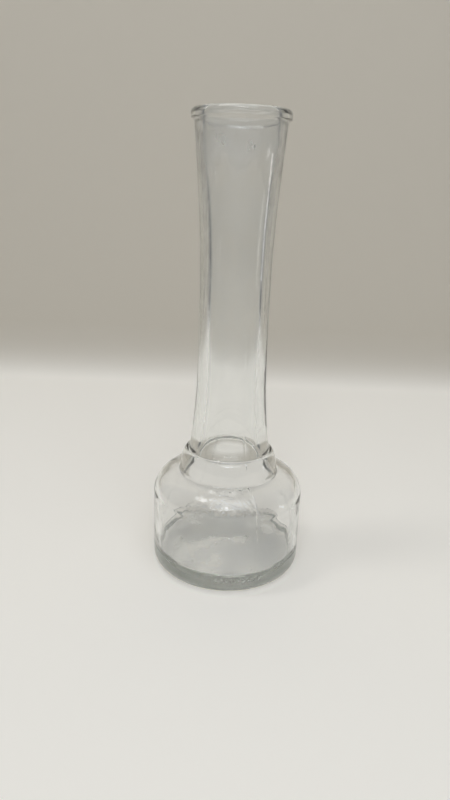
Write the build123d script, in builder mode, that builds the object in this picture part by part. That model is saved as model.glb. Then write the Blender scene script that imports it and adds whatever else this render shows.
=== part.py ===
"""Clear glass bud vase: a low round body, a collar ring and a tall waisted neck with a lip.

The vase is one moulding. It is written as the zones that its mould forms, each a ring of
glass between two level planes, so that every zone can be named, weighed and collided alone.
Z is the axis of the vase, and z = 0 is the surface it stands on. All sizes are millimetres.
"""
from build123d import *

import os

# Overall
height = 203.0
base_radius = 35.0

# Base: a shallow push-up inside a flat bearing ring, then a rounded heel
push_up = 3.0
bearing_inner_radius = 25.0
heel_radius = 6.0
floor_top = 7.6            # inside bottom of the bowl, above the thick base glass
floor_corner_radius = 4.0

# Heel line: the groove left where the bottom plate meets the body mould
heel_line_height = 10.8
heel_line_width = 0.8
heel_line_depth = 0.3

# Body wall and shoulder
wall_thickness = 2.7
wall_top = 36.0
shoulder_top = 47.3
shoulder_glass = 2.35

# Collar ring at the foot of the neck
collar_radius = 22.7
collar_top = 57.6
collar_crease_fillet = 1.3
neck_root_fillet = 0.8

# Lip: a flat-sided bead with a rounded top and a square underside
lip_radius = 20.3
lip_height = 3.7
lip_outer_rounding = 1.8
lip_inner_rounding = 2.2
mouth_radius = 15.2        # straight land inside the lip
mouth_land = 9.0
lip_root_fillet = 0.6      # where the lip's underside meets the neck

# Neck: (radius, height) of its outside, foot to lip, and of its bore, mouth to bowl
neck_foot_radius = 18.5
neck_outside = [(16.15, 81.0), (15.35, 104.5), (15.3, 128.0), (15.65, 151.5), (17.1, 175.0)]
neck_top_radius = 19.0
neck_bore = [(13.5, 178.0), (11.25, 152.0), (10.9, 125.0), (10.85, 98.0), (11.05, 79.0), (12.15, 67.0)]
neck_foot_slope = -0.14    # radius gained per height gained, where the outside leaves the collar
neck_top_slope = 0.09

# Throat: where the bore opens into the bowl, and the smooth turn from there under the shoulder
throat_radius = 15.95
throat_height = 55.65
throat_slope = 1.0         # radius gained per height lost
throat_turn = 3.2          # height of the turn's handle at the throat
throat_foot_inset = 0.85   # from the collar's radius in to where the shoulder's inside starts
throat_foot_handle = 2.5

# Level planes between the zones
neck_split = 125.0
neck_bottom = 60.0
collar_bottom = 48.6

# Row of raised dots on the heel, centred a little right of the front (-Y)
dot_radius = 0.85
dot_relief = 0.4
dot_count = 9
dot_pitch = 4.0            # degrees round the heel
dot_row_center = 10.0      # degrees right of the front
dot_row_height = 7.8

lip_underside = height - lip_height
mouth_bottom = height - lip_inner_rounding - mouth_land
lip_bottom = mouth_bottom
floor_corner_center = base_radius - wall_thickness - floor_corner_radius
inner_wall_radius = base_radius - wall_thickness
collar_top_radius = neck_foot_radius + neck_root_fillet
neck_foot = collar_top + neck_root_fillet
throat_foot = (collar_radius - throat_foot_inset, shoulder_top - shoulder_glass)
dot_ball_radius = (dot_radius**2 + dot_relief**2) / (2 * dot_relief)
dot_row_start = -90 + dot_row_center - dot_pitch * (dot_count - 1) / 2

# Half section of the glass, radius along X and height along Z
with BuildSketch(Plane.XZ) as glass_section:
    with BuildLine():
        # Underside and heel
        TangentArc((0, push_up), (bearing_inner_radius, 0), tangent=(1, 0))
        Line((bearing_inner_radius, 0), (base_radius - heel_radius, 0))
        CenterArc((base_radius - heel_radius, heel_radius), heel_radius, 270, 90)
        # Wall, with the groove of the heel line
        Polyline(
            (base_radius, heel_radius),
            (base_radius, heel_line_height - heel_line_width / 2),
            (base_radius - heel_line_depth, heel_line_height),
            (base_radius, heel_line_height + heel_line_width / 2),
            (base_radius, wall_top),
        )
        # Shoulder
        EllipticalCenterArc(
            (collar_radius, wall_top),
            base_radius - collar_radius,
            shoulder_top - wall_top,
        )
        # Collar ring
        EllipticalCenterArc(
            (collar_top_radius, shoulder_top),
            collar_radius - collar_top_radius,
            collar_top - shoulder_top,
        )
        CenterArc((collar_top_radius, neck_foot), neck_root_fillet, 270, -90)
        # Neck
        Spline(
            (neck_foot_radius, neck_foot),
            *neck_outside,
            (neck_top_radius, lip_underside),
            tangents=[(neck_foot_slope, 1), (neck_top_slope, 1)],
        )
        # Lip
        Polyline(
            (neck_top_radius, lip_underside),
            (lip_radius, lip_underside),
            (lip_radius, height - lip_outer_rounding),
        )
        CenterArc(
            (lip_radius - lip_outer_rounding, height - lip_outer_rounding),
            lip_outer_rounding,
            0,
            90,
        )
        Line(
            (lip_radius - lip_outer_rounding, height),
            (mouth_radius + lip_inner_rounding, height),
        )
        CenterArc(
            (mouth_radius + lip_inner_rounding, height - lip_inner_rounding),
            lip_inner_rounding,
            90,
            90,
        )
        # Mouth and bore
        Line((mouth_radius, height - lip_inner_rounding), (mouth_radius, mouth_bottom))
        Spline(
            (mouth_radius, mouth_bottom),
            *neck_bore,
            (throat_radius, throat_height),
            tangents=[(0, -1), (throat_slope, -1)],
        )
        # Throat, inside of the shoulder and wall
        Bezier(
            (throat_radius, throat_height),
            (throat_radius + throat_turn * throat_slope, throat_height - throat_turn),
            (throat_foot[0] - throat_foot_handle, throat_foot[1]),
            throat_foot,
        )
        EllipticalCenterArc(
            (throat_foot[0], wall_top),
            inner_wall_radius - throat_foot[0],
            throat_foot[1] - wall_top,
        )
        Line((inner_wall_radius, wall_top), (inner_wall_radius, floor_top + floor_corner_radius))
        # Inside bottom
        CenterArc(
            (floor_corner_center, floor_top + floor_corner_radius),
            floor_corner_radius,
            270,
            90,
        )
        Polyline((floor_corner_center, floor_top), (0, floor_top), (0, push_up))
    make_face()
    crease = glass_section.vertices().sort_by_distance((collar_radius, shoulder_top))[0]
    fillet(crease, collar_crease_fillet)
    lip_root = glass_section.vertices().sort_by_distance((neck_top_radius, lip_underside))[0]
    fillet(lip_root, lip_root_fillet)


def turn_glass(bottom, top):
    """Revolve the stretch of the glass section between two heights."""
    with BuildSketch(Plane.XZ) as stretch:
        add(glass_section.sketch_local)
        with Locations((base_radius / 2, (bottom + top) / 2)):
            Rectangle(base_radius, top - bottom, mode=Mode.INTERSECT)
    revolve(stretch.sketch, axis=Axis.Z)


with BuildPart() as base:
    turn_glass(0, heel_line_height)
    with Locations((0, 0, dot_row_height)):
        with PolarLocations(
            base_radius + dot_relief - dot_ball_radius,
            dot_count,
            start_angle=dot_row_start,
            angular_range=dot_pitch * (dot_count - 1),
            endpoint=True,
        ):
            Sphere(dot_ball_radius)
base.part.label = "base"

with BuildPart() as body_wall:
    turn_glass(heel_line_height, wall_top)
body_wall.part.label = "body_wall"

with BuildPart() as shoulder:
    turn_glass(wall_top, collar_bottom)
shoulder.part.label = "shoulder"

with BuildPart() as collar_ring:
    turn_glass(collar_bottom, neck_bottom)
collar_ring.part.label = "collar_ring"

with BuildPart() as neck_lower:
    turn_glass(neck_bottom, neck_split)
neck_lower.part.label = "neck_lower"

with BuildPart() as neck_upper:
    turn_glass(neck_split, lip_bottom)
neck_upper.part.label = "neck_upper"

with BuildPart() as lip:
    turn_glass(lip_bottom, height)
lip.part.label = "lip"

os.makedirs("parts", exist_ok=True)
for zone in (base, body_wall, shoulder, collar_ring, neck_lower, neck_upper, lip):
    export_step(zone.part, f"parts/{zone.part.label}.step")
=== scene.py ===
"""Clear glass bud vase on a plain pale floor: one seamless glass moulding around the CAD zones."""

import math

import bpy
import numpy as np
from mathutils import Matrix, Vector, noise


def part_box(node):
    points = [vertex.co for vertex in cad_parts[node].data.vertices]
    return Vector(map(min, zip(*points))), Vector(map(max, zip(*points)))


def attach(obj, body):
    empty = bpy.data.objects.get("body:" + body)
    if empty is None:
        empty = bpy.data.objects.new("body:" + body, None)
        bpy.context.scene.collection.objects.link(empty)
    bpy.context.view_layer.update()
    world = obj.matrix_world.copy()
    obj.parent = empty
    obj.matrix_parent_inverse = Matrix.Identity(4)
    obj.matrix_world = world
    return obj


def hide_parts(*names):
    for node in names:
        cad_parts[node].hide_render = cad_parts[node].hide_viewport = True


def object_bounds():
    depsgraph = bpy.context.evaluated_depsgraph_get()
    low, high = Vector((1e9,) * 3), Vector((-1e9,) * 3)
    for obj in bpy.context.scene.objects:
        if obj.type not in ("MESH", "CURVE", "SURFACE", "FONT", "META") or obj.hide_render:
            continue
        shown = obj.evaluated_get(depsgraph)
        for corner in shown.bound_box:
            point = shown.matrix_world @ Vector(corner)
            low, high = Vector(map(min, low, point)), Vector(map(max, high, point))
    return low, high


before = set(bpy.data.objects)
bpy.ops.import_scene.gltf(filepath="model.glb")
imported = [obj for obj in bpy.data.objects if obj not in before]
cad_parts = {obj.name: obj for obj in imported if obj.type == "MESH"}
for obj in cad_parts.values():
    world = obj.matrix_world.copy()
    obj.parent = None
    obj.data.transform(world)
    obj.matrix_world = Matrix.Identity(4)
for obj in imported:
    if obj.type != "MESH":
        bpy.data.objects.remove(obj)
cad_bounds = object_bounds()

MM = 0.001

# ---------------------------------------------------------------- sizes, in millimetres
# Levels and outer sizes come from the CAD zones.
height = cad_bounds[1][2] / MM
base_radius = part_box("body_wall")[1][0] / MM
heel_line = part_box("base")[1][2] / MM
wall_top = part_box("body_wall")[1][2] / MM
lip_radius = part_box("lip")[1][0] / MM

# Foot
push_up = 3.0
bearing_inner_radius = 25.0
heel_radius = 6.0
heel_line_width = 0.8
heel_line_depth = 0.3
floor_top = 7.6
floor_corner = 4.0

# Body and collar
wall_thickness = 2.7
inner_wall_radius = base_radius - wall_thickness
shoulder_top = 47.3
collar_radius = 22.7
collar_top = 57.6
neck_bottom = 60.0
crease_fillet = 1.3
neck_foot_radius = 18.5
root_fillet = 0.8
throat_foot = (21.85, 44.95)
throat = (15.95, 55.65)
throat_slope = 1.0         # radius gained per height lost where the bore meets the throat
throat_turn = 3.2          # height of the turn's handle at the throat
throat_foot_handle = 2.5

# Neck and lip
neck_outside = [(16.15, 81.0), (15.35, 104.5), (15.3, 128.0), (15.65, 151.5), (17.1, 175.0)]
neck_top_radius = 19.0
neck_foot_slope = -0.14    # radius gained per height gained
neck_top_slope = 0.09
neck_bore = [(13.5, 178.0), (11.25, 152.0), (10.9, 125.0), (10.85, 98.0), (11.05, 79.0), (12.15, 67.0)]
lip_height = 3.7
lip_outer_rounding = 1.8
lip_inner_rounding = 2.2
lip_root_fillet = 0.6
mouth_radius = 15.2
mouth_land = 9.0
mouth_bottom = height - lip_inner_rounding - mouth_land

# Mould seams, and the generic dots on the heel
seam_angles = (22.9, 202.9)    # degrees right of the front
seam_relief = 0.2
seam_half_width = 0.28
seam_on_neck = 0.45            # of the relief on the body
seam_foot = heel_line + 0.5
seam_top = height - lip_height - 0.3
dot_count = 9
dot_pitch = 4.0
dot_row_center = 10.0
dot_row_height = 7.8
dot_radius = 0.85
dot_relief = 0.4

# Waves left by blowing
outer_wave_depth = 0.02
outer_wave_length = 6.0
shoulder_wave_depth = 0.05     # added round the middle of the shoulder
shoulder_middle = 43.0
shoulder_reach = 9.0
inner_wave_depth = 0.12
inner_wave_length = 7.0
wave_run_up = 12.0             # height over which the collar's waves turn into the neck's
calm_radius = 3.0              # no waves nearer the axis than this, nor below the calm level
calm_level = 0.5
calm_fade = 6.0                # height over which they grow from the foot and fade at the lip

# Haze of dust and dried water inside, as shares of the light that it scatters
neck_haze = 0.10
neck_haze_growth = 60.0        # height over which it grows up the neck
lip_haze = 0.06
lip_haze_level = 188.0
lip_haze_reach = 8.0
floor_haze = 0.3
floor_haze_depth = 2.5

# Stippling under the foot, and fine ripples as multiples of the material's own
stipple_top = 4.0
stipple_fade = 3.0
plain_ripple = 0.25
shoulder_ripple = 14.0         # on the front of the shoulder
ripple_level = 44.0
ripple_reach = 6.0
ripple_spread = 25.0           # degrees

# Mesh: degrees between neighbouring points round the axis, where nothing asks for closer ones
ring_step = 2.4


# ---------------------------------------------------------------- section of the glass
def arc(center, x_radius, y_radius, start, sweep, count):
    """Points of an elliptical arc, angles in degrees."""
    angles = np.radians(np.linspace(start, start + sweep, count))
    return [(center[0] + x_radius * math.cos(a), center[1] + y_radius * math.sin(a)) for a in angles]


def smooth_line(points, start_tangent, end_tangent, count):
    """A curve of continuous curvature through points, leaving and arriving along two tangents."""
    knots = np.array(points, float)
    steps = np.linalg.norm(np.diff(knots, axis=0), axis=1)
    at = np.concatenate([[0], np.cumsum(steps)])
    size = len(knots)
    system = np.zeros((size, size))
    right = np.zeros((size, 2))
    system[0, 0] = system[-1, -1] = 1
    right[0] = np.array(start_tangent, float) / np.linalg.norm(start_tangent)
    right[-1] = np.array(end_tangent, float) / np.linalg.norm(end_tangent)
    for i in range(1, size - 1):
        before, after = steps[i - 1], steps[i]
        system[i, i - 1:i + 2] = after, 2 * (before + after), before
        right[i] = 3 * (
            after * (knots[i] - knots[i - 1]) / before + before * (knots[i + 1] - knots[i]) / after
        )
    slopes = np.linalg.solve(system, right)
    result = []
    for s in np.linspace(0, at[-1], count):
        i = min(int(np.searchsorted(at, s, side="right")) - 1, size - 2)
        h = steps[i]
        t = (s - at[i]) / h
        result.append(tuple(
            (1 + 2 * t) * (1 - t) ** 2 * knots[i] + t * (1 - t) ** 2 * h * slopes[i]
            + t * t * (3 - 2 * t) * knots[i + 1] + t * t * (t - 1) * h * slopes[i + 1]
        ))
    return result


def straight(start, end, count):
    """Evenly spaced points of a line."""
    return [tuple(p) for p in np.linspace(start, end, count)]


def bezier(a, b, c, d, count):
    """Points of a cubic curve from a to d, with handles b and c."""
    a, b, c, d = (np.array(p, float) for p in (a, b, c, d))
    return [
        tuple((1 - t) ** 3 * a + 3 * t * (1 - t) ** 2 * b + 3 * t * t * (1 - t) * c + t ** 3 * d)
        for t in np.linspace(0, 1, count)
    ]


def round_corner(points, corner, radius):
    """Replaces the stretch of an outline near a corner by a smooth blend about that long."""
    near = [i for i, p in enumerate(points) if math.dist(p, corner) < radius]
    first, last = near[0] - 1, near[-1] + 1
    blend = bezier(points[first], corner, corner, points[last], 10)
    return points[:first] + blend + points[last + 1:]


def outside_line():
    """Outer surface from the middle of the underside up to the lip's crown."""
    heel_center = (base_radius - heel_radius, heel_radius)
    hollow = (bearing_inner_radius ** 2 + push_up ** 2) / (2 * push_up)
    foot = [
        (r, push_up - hollow + math.sqrt(hollow ** 2 - r ** 2))
        for r in np.linspace(0, bearing_inner_radius, 20)
    ]
    foot += straight((bearing_inner_radius, 0), (base_radius - heel_radius, 0), 7)[1:]
    foot += arc(heel_center, heel_radius, heel_radius, 270, 90, 22)[1:]
    groove_low, groove_high = heel_line - heel_line_width / 2, heel_line + heel_line_width / 2
    wall = straight((base_radius, heel_radius), (base_radius, groove_low), 12)[1:]
    groove = np.linspace(0, 1, 9)[1:]
    wall += [
        (base_radius - heel_line_depth * math.sin(math.pi * t) ** 2, groove_low + heel_line_width * t)
        for t in groove
    ]
    wall += straight((base_radius, groove_high), (base_radius, wall_top), 26)[1:]
    shoulder = arc(
        (collar_radius, wall_top), base_radius - collar_radius, shoulder_top - wall_top, 0, 90, 40
    )[1:]
    collar_top_radius = neck_foot_radius + root_fillet
    collar_center = (collar_top_radius, shoulder_top)
    collar = arc(
        collar_center, collar_radius - collar_top_radius, collar_top - shoulder_top, 0, 90, 28
    )[1:]
    body = round_corner(wall + shoulder + collar, (collar_radius, shoulder_top), crease_fillet)
    neck_foot = collar_top + root_fillet
    root = arc((collar_top_radius, neck_foot), root_fillet, root_fillet, 270, -90, 8)[1:]
    lip_root = (neck_top_radius, height - lip_height)
    neck = smooth_line(
        [(neck_foot_radius, neck_foot), *neck_outside, lip_root],
        (neck_foot_slope, 1),
        (neck_top_slope, 1),
        66,
    )[1:]
    lip_corner = (lip_radius, height - lip_height)
    lip = straight(lip_root, lip_corner, 4)[1:]
    lip += straight(lip_corner, (lip_radius, height - lip_outer_rounding), 8)[1:]
    rounding_center = (lip_radius - lip_outer_rounding, height - lip_outer_rounding)
    lip += arc(rounding_center, lip_outer_rounding, lip_outer_rounding, 0, 90, 16)[1:]
    return foot + body + root + round_corner(neck + lip, lip_root, lip_root_fillet)


def inside_line():
    """Inner surface from the lip's crown down to the middle of the bowl's floor."""
    rounding_center = (mouth_radius + lip_inner_rounding, height - lip_inner_rounding)
    line = arc(rounding_center, lip_inner_rounding, lip_inner_rounding, 90, 90, 14)
    mouth_foot = (mouth_radius, mouth_bottom)
    line += straight((mouth_radius, height - lip_inner_rounding), mouth_foot, 10)[1:]
    line += smooth_line([mouth_foot, *neck_bore, throat], (0, -1), (throat_slope, -1), 64)[1:]
    line += bezier(
        throat,
        (throat[0] + throat_turn * throat_slope, throat[1] - throat_turn),
        (throat_foot[0] - throat_foot_handle, throat_foot[1]),
        throat_foot,
        20,
    )[1:]
    shoulder_center = (throat_foot[0], wall_top)
    line += arc(
        shoulder_center, inner_wall_radius - throat_foot[0], throat_foot[1] - wall_top, 90, -90, 34
    )[1:]
    line += straight((inner_wall_radius, wall_top), (inner_wall_radius, floor_top + floor_corner), 20)[1:]
    center = (inner_wall_radius - floor_corner, floor_top + floor_corner)
    line += arc(center, floor_corner, floor_corner, 0, -90, 24)[1:]
    line += straight((center[0], floor_top), (0, floor_top), 22)[1:]
    return line


# ---------------------------------------------------------------- the glass as a mesh
def apart(degrees, place):
    """Signed angle from one place round the axis to another, -180 to 180 degrees."""
    return (degrees - place + 180) % 360 - 180


def even_angles():
    """Evenly spaced angles round the axis, in degrees right of the front."""
    return np.arange(0, 360, ring_step)


def closer_round(places):
    """Even angles, with the given closer ones in place of those that they fall on."""
    closer = np.concatenate(places)
    free = [a for a in even_angles() if np.min(np.abs(apart(closer, a))) > ring_step / 3]
    return np.sort(np.concatenate([closer % 360, free]))


def heel_angles():
    """Angles for the rings that carry the row of dots."""
    just_past_dot = math.degrees(dot_radius * 1.05 / base_radius)
    across = np.linspace(-1, 1, 9) * just_past_dot
    first = dot_row_center - dot_pitch * (dot_count - 1) / 2
    return closer_round([first + n * dot_pitch + across for n in range(dot_count)])


def side_angles():
    """Angles for the rings that carry the seams."""
    one_side = np.array([0.2, 0.45, 0.7, 1.0, 1.6])
    across = np.concatenate([-one_side[::-1], [0], one_side])
    return closer_round([seam + across for seam in seam_angles])


def stitch(faces, low, low_angles, high, high_angles):
    """Joins two rings of points whose angles differ, by triangles."""
    i = j = 0
    lows, highs = len(low_angles), len(high_angles)
    while i < lows or j < highs:
        next_low = low_angles[i + 1] if i + 1 < lows else low_angles[(i + 1) % lows] + 360
        next_high = high_angles[j + 1] if j + 1 < highs else high_angles[(j + 1) % highs] + 360
        if i < lows and (j >= highs or next_low <= next_high):
            faces.append((low + i, low + (i + 1) % lows, high + j % highs))
            i += 1
        else:
            faces.append((low + i % lows, high + (j + 1) % highs, high + j))
            j += 1


def join_rings(starts, angle_sets):
    """Faces between each ring of points and the next: quads, or triangles where the angles change."""
    faces = []
    for row in range(len(starts) - 1):
        low, high = starts[row], starts[row + 1]
        if angle_sets[row] is not angle_sets[row + 1]:
            stitch(faces, low, angle_sets[row], high, angle_sets[row + 1])
            continue
        count = len(angle_sets[row])
        for j in range(count):
            k = (j + 1) % count
            faces.append((low + j, low + k, high + k, high + j))
    return faces


def build_glass():
    """The whole moulding as one closed mesh: rings from the underside, over the lip, to the inner floor."""
    outer, inner = outside_line(), inside_line()
    profile = np.array(outer + inner[1:])
    slope = np.gradient(profile, axis=0)
    slope /= np.linalg.norm(slope, axis=1)[:, None]
    rings = profile[1:-1]
    heel, side, inside = heel_angles(), side_angles(), even_angles()
    points, outside, starts, angle_sets = [], [], [], []
    groove_top = heel_line + heel_line_width / 2 - 1e-6
    groove_row = int(np.argmax(rings[:, 1] > groove_top))
    for row, (r, z) in enumerate(rings):
        is_outer = row + 1 < len(outer)
        angles = (heel if row < groove_row else side) if is_outer else inside
        tangent = slope[row + 1]
        starts.append(len(points))
        angle_sets.append(angles)
        for degrees in angles:
            points.append(surface_point(r, z, degrees, (tangent[1], -tangent[0]), is_outer))
        outside += [is_outer] * len(angles)
    faces = join_rings(starts, angle_sets)
    under, floor, last = len(points), len(points) + 1, starts[-1]
    points += [(0, 0, profile[0][1]), (0, 0, profile[-1][1])]
    outside += [True, False]
    faces += [(under, (j + 1) % len(heel), j) for j in range(len(heel))]
    faces += [(floor, last + j, last + (j + 1) % len(inside)) for j in range(len(inside))]
    points = np.array(points)
    mesh = bpy.data.meshes.new("glass_vase")
    mesh.from_pydata((points * MM).tolist(), [], faces)
    mesh.polygons.foreach_set("use_smooth", [True] * len(mesh.polygons))
    add_surface_marks(mesh, points, np.array(outside))
    mesh.update()
    piece = bpy.data.objects.new("glass_vase", mesh)
    bpy.context.scene.collection.objects.link(piece)
    return piece


def bump(distance, width):
    """A smooth hump, 1 in its middle."""
    return math.exp(-(distance / width) ** 2)


def surface_point(r, z, degrees, outward, is_outer):
    """One point of the glass: the turned section plus its seams, dots and waves, in millimetres."""
    turn = math.radians(degrees)
    east, north = math.sin(turn), -math.cos(turn)
    place = Vector((r * east, r * north, z))
    relief = 0.0
    if is_outer and seam_foot < z < seam_top:
        fade = min(1, (z - heel_line) / 2) * (seam_on_neck if z > collar_top else 1)
        for seam in seam_angles:
            relief += seam_relief * fade * bump(math.radians(apart(degrees, seam)) * r, seam_half_width)
    if is_outer and abs(z - dot_row_height) < dot_radius and r > bearing_inner_radius:
        for n in range(dot_count):
            dot = dot_row_center + (n - (dot_count - 1) / 2) * dot_pitch
            away = math.hypot(math.radians(apart(degrees, dot)) * r, z - dot_row_height)
            relief += dot_relief * max(0, 1 - (away / dot_radius) ** 2)
    if r > calm_radius and z > calm_level:
        relief += min(1, (z - calm_level) / calm_fade) * waves(place, is_outer)
    return (r + outward[0] * relief) * east, (r + outward[0] * relief) * north, z + outward[1] * relief


def waves(place, is_outer):
    """What blowing leaves: the inside is wavier than the outside, and the neck's waves run up it."""
    on_neck = min(1, max(0, (place.z - collar_top) / wave_run_up))
    drawn = Vector((place.x, place.y, place.z / (1 + 5 * on_neck)))
    if is_outer:
        depth = outer_wave_depth + shoulder_wave_depth * bump(place.z - shoulder_middle, shoulder_reach)
        return depth * noise.noise(drawn / outer_wave_length + Vector((2.1, 0.4, 5.2)))
    depth = inner_wave_depth * min(1, max(0, (height - place.z) / calm_fade))
    return depth * noise.noise(drawn / inner_wave_length + Vector((7.3, 1.9, 4.1)))


def add_surface_marks(mesh, points, outside):
    """Stores, point by point, how stippled, hazy and rippled the glass is, for the material to read."""
    level = points[:, 2]
    stipple = np.where(outside, np.clip((stipple_top - level) / stipple_fade, 0, 1), 0)
    up_neck = np.clip((level - neck_bottom) / neck_haze_growth, 0.1, 1)
    near_lip = np.exp(-((level - lip_haze_level) / lip_haze_reach) ** 2)
    on_floor = np.clip((floor_top + floor_haze_depth - level) / floor_haze_depth, 0, 1)
    dust = np.maximum(neck_haze * up_neck + lip_haze * near_lip, floor_haze * on_floor)
    haze = np.where(outside, 0, dust)
    from_front = np.degrees(np.arctan2(points[:, 0], -points[:, 1]))
    in_patch = np.exp(-((level - ripple_level) / ripple_reach) ** 2 - (from_front / ripple_spread) ** 2)
    ripple = np.where(outside, plain_ripple + shoulder_ripple * in_patch, plain_ripple)
    for name, values in (("stipple", stipple), ("haze", haze), ("ripple", ripple)):
        attribute = mesh.attributes.new(name, "FLOAT", "POINT")
        attribute.data.foreach_set("value", values.astype(np.float32))


# ---------------------------------------------------------------- materials
def set_inputs(node, **values):
    """Sets a node's own sockets by name, with _ for a space."""
    for name, value in values.items():
        node.inputs[name.replace("_", " ")].default_value = value


STIPPLE_ROUGHNESS = 0.3
HAZE_ROUGHNESS = 1.2
RIPPLE_DEPTH = 0.06 * MM
GLASS_TINT = (0.66, 0.82, 0.73, 1)
GLASS_DENSITY = 8.5
FLOOR_COLOR = (0.80, 0.775, 0.725, 1)
# Painted shade: the backdrop's colour is darker than the floor's, standing in for the shade on the sweep's
# rising back.
SHADED_BACKDROP_COLOR = (0.45, 0.42, 0.365, 1)
# Painted light: the floor and backdrop glow though they are no lamp, and glow more under the vase, standing
# in for light that passes through the glass.
FLOOR_PAINTED_GLOW = 0.25
PAINTED_GLOW_UNDER_VASE = 0.45


class Graph:
    """Short ways to add and join shader nodes."""

    def __init__(self, material):
        material.use_nodes = True
        self.nodes, self.links = material.node_tree.nodes, material.node_tree.links

    def add(self, kind, **values):
        node = self.nodes.new("ShaderNode" + kind)
        set_inputs(node, **values)
        return node

    def mark(self, name):
        node = self.nodes.new("ShaderNodeAttribute")
        node.attribute_name = name
        return node.outputs["Fac"]

    def math(self, operation, first, second):
        node = self.nodes.new("ShaderNodeMath")
        node.operation = operation
        for socket, value in zip(node.inputs, (first, second)):
            if isinstance(value, (int, float)):
                socket.default_value = value
            else:
                self.links.new(value, socket)
        return node.outputs[0]

    def noise(self, scale, detail, stretch=(1, 1, 1)):
        place = self.nodes.new("ShaderNodeTexCoord")
        mapping = self.nodes.new("ShaderNodeMapping")
        mapping.inputs["Scale"].default_value = stretch
        texture = self.add("TexNoise", Scale=scale, Detail=detail, Roughness=0.55)
        self.links.new(place.outputs["Object"], mapping.inputs["Vector"])
        self.links.new(mapping.outputs[0], texture.inputs["Vector"])
        return texture.outputs[0]

    def spread(self, value, low, high, to_low, to_high):
        node = self.add("MapRange", From_Min=low, From_Max=high, To_Min=to_low, To_Max=to_high)
        self.links.new(value, node.inputs["Value"])
        return node.outputs["Result"]


def glass_material():
    """Clear glass: a haze of dust and dried water inside, a stippled foot, and fine ripples."""
    material = bpy.data.materials.new("clear_glass")
    graph = Graph(material)
    shader = graph.nodes["Principled BSDF"]
    set_inputs(shader, Base_Color=(1, 1, 1, 1), Transmission_Weight=1.0, IOR=1.52, Roughness=0.0)
    smudges = graph.spread(graph.noise(70, 3, (1, 1, 0.5)), 0.35, 0.65, 0.4, 1.6)
    haze = graph.math("MULTIPLY", graph.mark("haze"), smudges)
    rough = graph.math("MULTIPLY", graph.mark("stipple"), STIPPLE_ROUGHNESS)
    rough = graph.math("ADD", rough, graph.math("MULTIPLY", haze, HAZE_ROUGHNESS))
    graph.links.new(rough, shader.inputs["Roughness"])
    graph.links.new(graph.math("SUBTRACT", 1.0, haze), shader.inputs["Transmission Weight"])
    ripples = graph.add("Bump", Strength=1.0, Distance=RIPPLE_DEPTH)
    lines = graph.math("MULTIPLY", graph.noise(330, 2, (1, 1, 0.6)), graph.mark("ripple"))
    graph.links.new(lines, ripples.inputs["Height"])
    graph.links.new(ripples.outputs[0], shader.inputs["Normal"])
    absorb = graph.add("VolumeAbsorption", Color=GLASS_TINT, Density=GLASS_DENSITY)
    graph.links.new(absorb.outputs["Volume"], graph.nodes["Material Output"].inputs["Volume"])
    return material


def floor_material(near, far):
    """Matt pale floor with painted light and shade: it glows though it is no lamp, more under the vase, and
    painted shade turns it into a darker backdrop further back.
    """
    material = bpy.data.materials.new("floor_paint")
    graph = Graph(material)
    link = graph.links.new
    shader = graph.nodes["Principled BSDF"]
    set_inputs(shader, Roughness=0.9)
    place = graph.add("TexCoord")
    from_axis = graph.add("VectorMath")
    from_axis.operation = "LENGTH"
    link(place.outputs["Object"], from_axis.inputs[0])
    # Painted light: emission strength, stronger within 30 mm of the axis under the vase and weaker beyond
    # 36 mm.
    painted_glow = graph.add(
        "MapRange", From_Min=30 * MM, From_Max=36 * MM, To_Min=PAINTED_GLOW_UNDER_VASE, To_Max=FLOOR_PAINTED_GLOW
    )
    link(from_axis.outputs["Value"], painted_glow.inputs["Value"])
    link(painted_glow.outputs["Result"], shader.inputs["Emission Strength"])
    # Painted shade: along Y, from near to far, the colour darkens from the floor's to the backdrop's.
    split = graph.add("SeparateXYZ")
    link(place.outputs["Object"], split.inputs[0])
    fade = graph.add("MapRange", From_Min=near, From_Max=far)
    fade.interpolation_type = "SMOOTHSTEP"
    link(split.outputs["Y"], fade.inputs["Value"])
    blend = graph.add("MixRGB", Color1=FLOOR_COLOR, Color2=SHADED_BACKDROP_COLOR)
    link(fade.outputs["Result"], blend.inputs["Fac"])
    link(blend.outputs[0], shader.inputs["Base Color"])
    # Painted light: the glow takes the floor's and the backdrop's own colour.
    link(blend.outputs[0], shader.inputs["Emission Color"])
    return material


# ---------------------------------------------------------------- stage, light and camera
def build_stage():
    """A wide pale floor that sweeps up into a narrower plain backdrop behind the vase, in metres."""
    start, sweep_radius, lean = 0.28, 0.05, 82
    top, top_back, half_width = 1.3, 0.1, 0.5
    floor_front, floor_half_width = -1.4, 1.4
    gap = 0.3 * MM             # keeps the floor's face apart from the glass
    line = [(start + sweep_radius * math.sin(a), sweep_radius * (1 - math.cos(a)))
            for a in np.radians(np.linspace(0, lean, 40))]
    line.append((line[-1][0] + top_back, top))
    verts = [(x, y, z - gap) for y, z in line for x in (-half_width, half_width)]
    faces = [(2 * i, 2 * i + 1, 2 * i + 3, 2 * i + 2) for i in range(len(line) - 1)]
    corner = len(verts)
    verts += [(x, y, -gap) for y in (floor_front, start) for x in (-floor_half_width, floor_half_width)]
    faces.append((corner, corner + 1, corner + 3, corner + 2))
    mesh = bpy.data.meshes.new("floor_sweep")
    mesh.from_pydata(verts, [], faces)
    mesh.polygons.foreach_set("use_smooth", [True] * len(mesh.polygons))
    mesh.materials.append(floor_material(start, start + 0.05))
    sweep = bpy.data.objects.new("floor_sweep", mesh)
    bpy.context.scene.collection.objects.link(sweep)


def area_light(name, place, target, size, watts, color):
    """A rectangular light at a place, facing a target, all in metres."""
    data = bpy.data.lights.new(name, "AREA")
    data.shape = "RECTANGLE"
    data.size, data.size_y = size
    data.energy = watts
    data.color = color
    light = bpy.data.objects.new(name, data)
    light.location = place
    light.rotation_euler = (Vector(target) - Vector(place)).to_track_quat("-Z", "Y").to_euler()
    bpy.context.scene.collection.objects.link(light)


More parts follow.
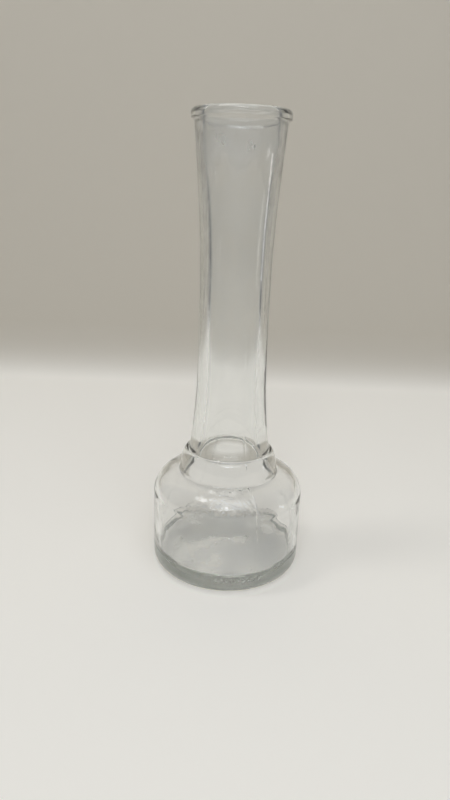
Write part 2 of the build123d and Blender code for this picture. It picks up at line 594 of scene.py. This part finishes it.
def build_lights():
    """Soft light from above, with a key for the shadow and smaller lights for the highlights."""
    area_light("ceiling", (0, 0, 1.5), (0, 0, 0), (2.4, 2.4), 2.4, (1.0, 0.98, 0.95))
    area_light("key", (-0.45, -0.1, 1.15), (0, 0, 0), (0.14, 0.4), 1.6, (1.0, 0.98, 0.94))
    area_light("window", (0.08, -0.5, 0.95), (0, 0, 0.05), (0.75, 0.85), 3.8, (0.9, 0.95, 1.0))
    area_light("lamp", (-0.03, -0.9, 0.9), (0, 0, 0.05), (0.5, 0.07), 2.3, (1.0, 1.0, 1.0))
    area_light("side_strip", (0.9, 0.0, 0.065), (0, 0, 0.1), (0.08, 0.13), 0.16, (1.0, 1.0, 1.0))
    world = bpy.data.worlds.new("studio")
    bpy.context.scene.world = world
    world.use_nodes = True
    set_inputs(world.node_tree.nodes["Background"], Color=(0.92, 0.96, 1.0, 1), Strength=0.14)


def build_camera():
    """A phone held a little below the rim's height, 28 cm in front, looking down on the body."""
    distance, eye_height = 280.0 * MM, 175.3 * MM
    yaw, pitch, roll = (math.radians(a) for a in (-0.545, 18.668, 2.042))
    data = bpy.data.cameras.new("camera")
    data.sensor_width = 36.0
    data.lens = 29.03
    data.clip_start = 0.01
    camera = bpy.data.objects.new("camera", data)
    forward = Vector((math.sin(yaw) * math.cos(pitch), math.cos(yaw) * math.cos(pitch), -math.sin(pitch)))
    level_right = Vector((math.cos(yaw), -math.sin(yaw), 0))
    level_up = level_right.cross(forward)
    right = math.cos(roll) * level_right + math.sin(roll) * level_up
    up = math.cos(roll) * level_up - math.sin(roll) * level_right
    matrix = Matrix((right, up, -forward)).transposed().to_4x4()
    matrix.translation = Vector((0, -distance, eye_height))
    camera.matrix_world = matrix
    bpy.context.scene.collection.objects.link(camera)
    bpy.context.scene.camera = camera


# ---------------------------------------------------------------- put together
build_camera()
build_stage()
build_lights()
vase = build_glass()
vase.data.materials.append(glass_material())
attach(vase, "root")
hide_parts("base", "body_wall", "shoulder", "collar_ring", "neck_lower", "neck_upper", "lip")
bpy.context.scene.view_settings.view_transform = "Standard"
bpy.context.scene.cycles.max_bounces = 24
bpy.context.scene.cycles.transmission_bounces = 24
